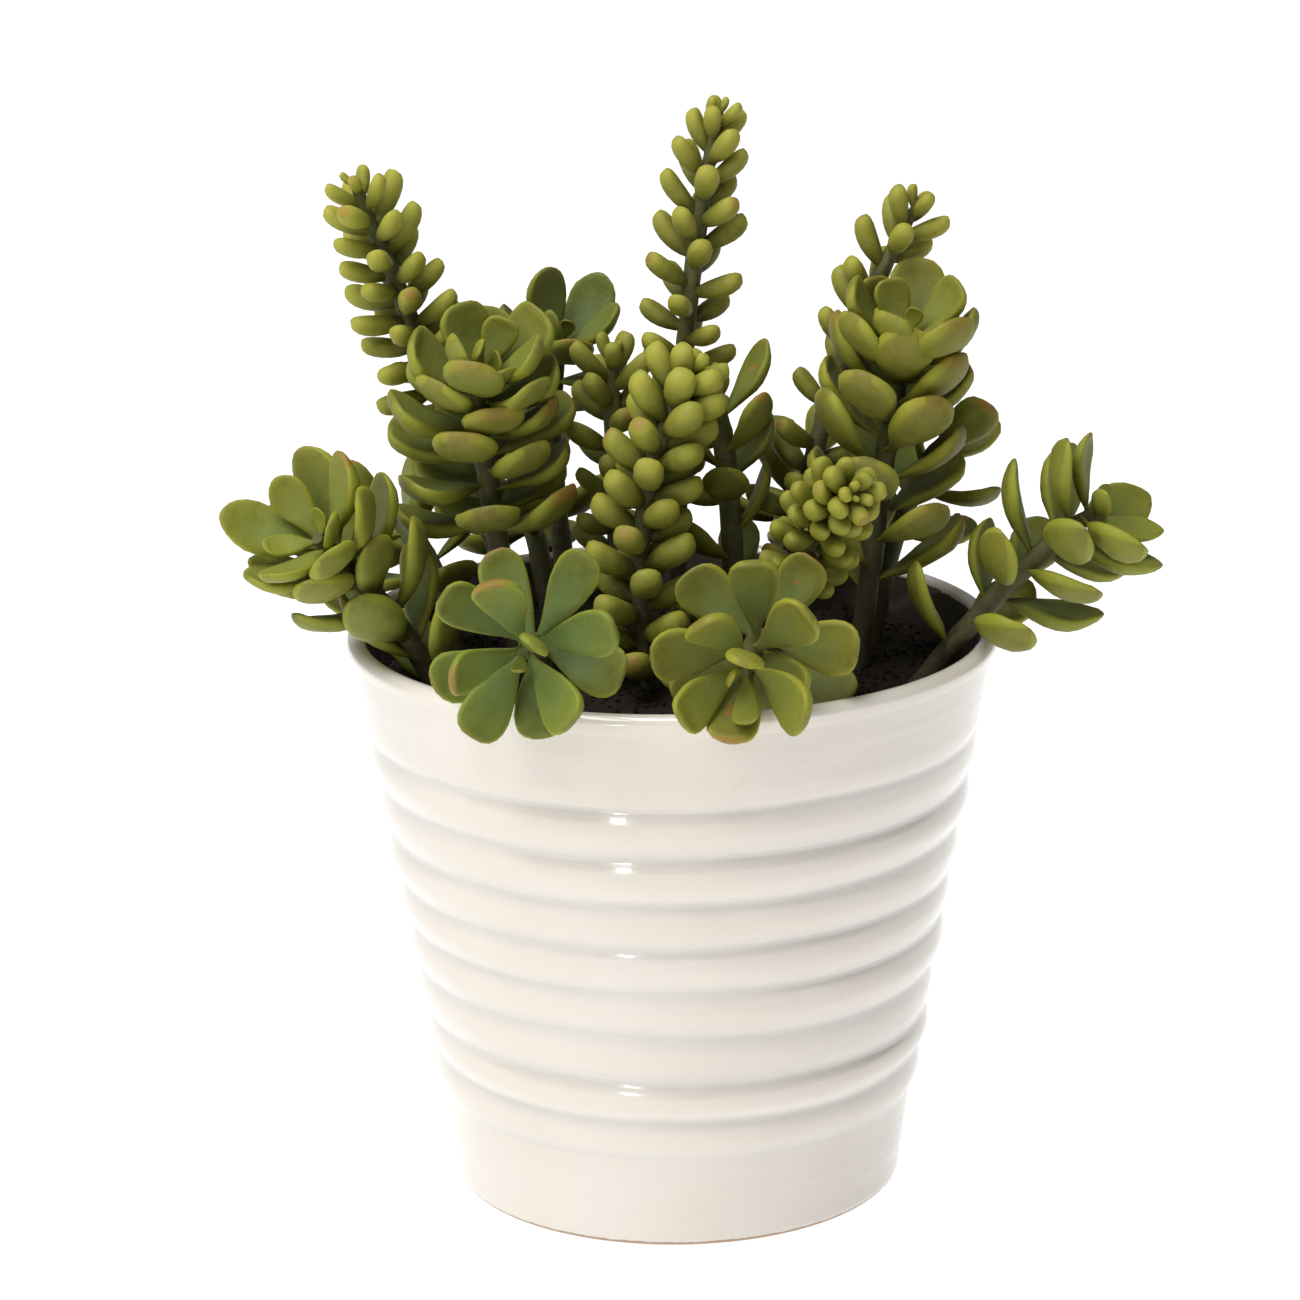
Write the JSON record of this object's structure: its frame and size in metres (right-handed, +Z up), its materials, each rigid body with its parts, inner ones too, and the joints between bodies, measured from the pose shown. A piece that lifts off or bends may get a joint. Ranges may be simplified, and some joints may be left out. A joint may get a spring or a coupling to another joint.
{
  "type": "potted succulent",
  "caption": "Succulent with bead-leaved spikes and spoon-leaved rosettes, planted in a tapered, ribbed, cream-glazed pot with a rounded lip.",
  "frame": {"origin": "middle of the pot's flat underside", "axes": "+Z up through the pot's middle, -Y towards the picture's viewer, +X to the viewer's right"},
  "size_m": [0.1962, 0.157, 0.2351],
  "materials": {
    "pot": "gloss",
    "soil": "matte",
    "rosette_front_left": "satin",
    "rosette_front_right": "satin",
    "bead_spike_front": "satin",
    "rosette_left_tall": "satin",
    "rosette_right_tall": "satin",
    "rosette_low_left": "satin",
    "branch_far_right": "satin",
    "bead_head_right": "satin",
    "bead_spike_left": "satin",
    "bead_spike_back": "satin",
    "bead_spike_right": "satin",
    "bead_spike_middle": "satin",
    "rosette_middle_right": "satin",
    "rosette_back_left": "satin",
    "rosette_right_back": "satin",
    "rosette_low_back_left": "satin",
    "rosette_low_back_right": "satin",
    "rosette_left_back": "satin"
  },
  "bodies": {
    "root": {"pot": "pot", "soil": "soil", "rosette_front_left": "rosette_front_left", "rosette_front_right": "rosette_front_right", "bead_spike_front": "bead_spike_front", "rosette_left_tall": "rosette_left_tall", "rosette_right_tall": "rosette_right_tall", "rosette_low_left": "rosette_low_left", "branch_far_right": "branch_far_right", "bead_head_right": "bead_head_right", "bead_spike_left": "bead_spike_left", "bead_spike_back": "bead_spike_back", "bead_spike_right": "bead_spike_right", "bead_spike_middle": "bead_spike_middle", "rosette_middle_right": "rosette_middle_right", "rosette_back_left": "rosette_back_left", "rosette_right_back": "rosette_right_back", "rosette_low_back_left": "rosette_low_back_left", "rosette_low_back_right": "rosette_low_back_right", "rosette_left_back": "rosette_left_back"}
  },
  "joints": []
}
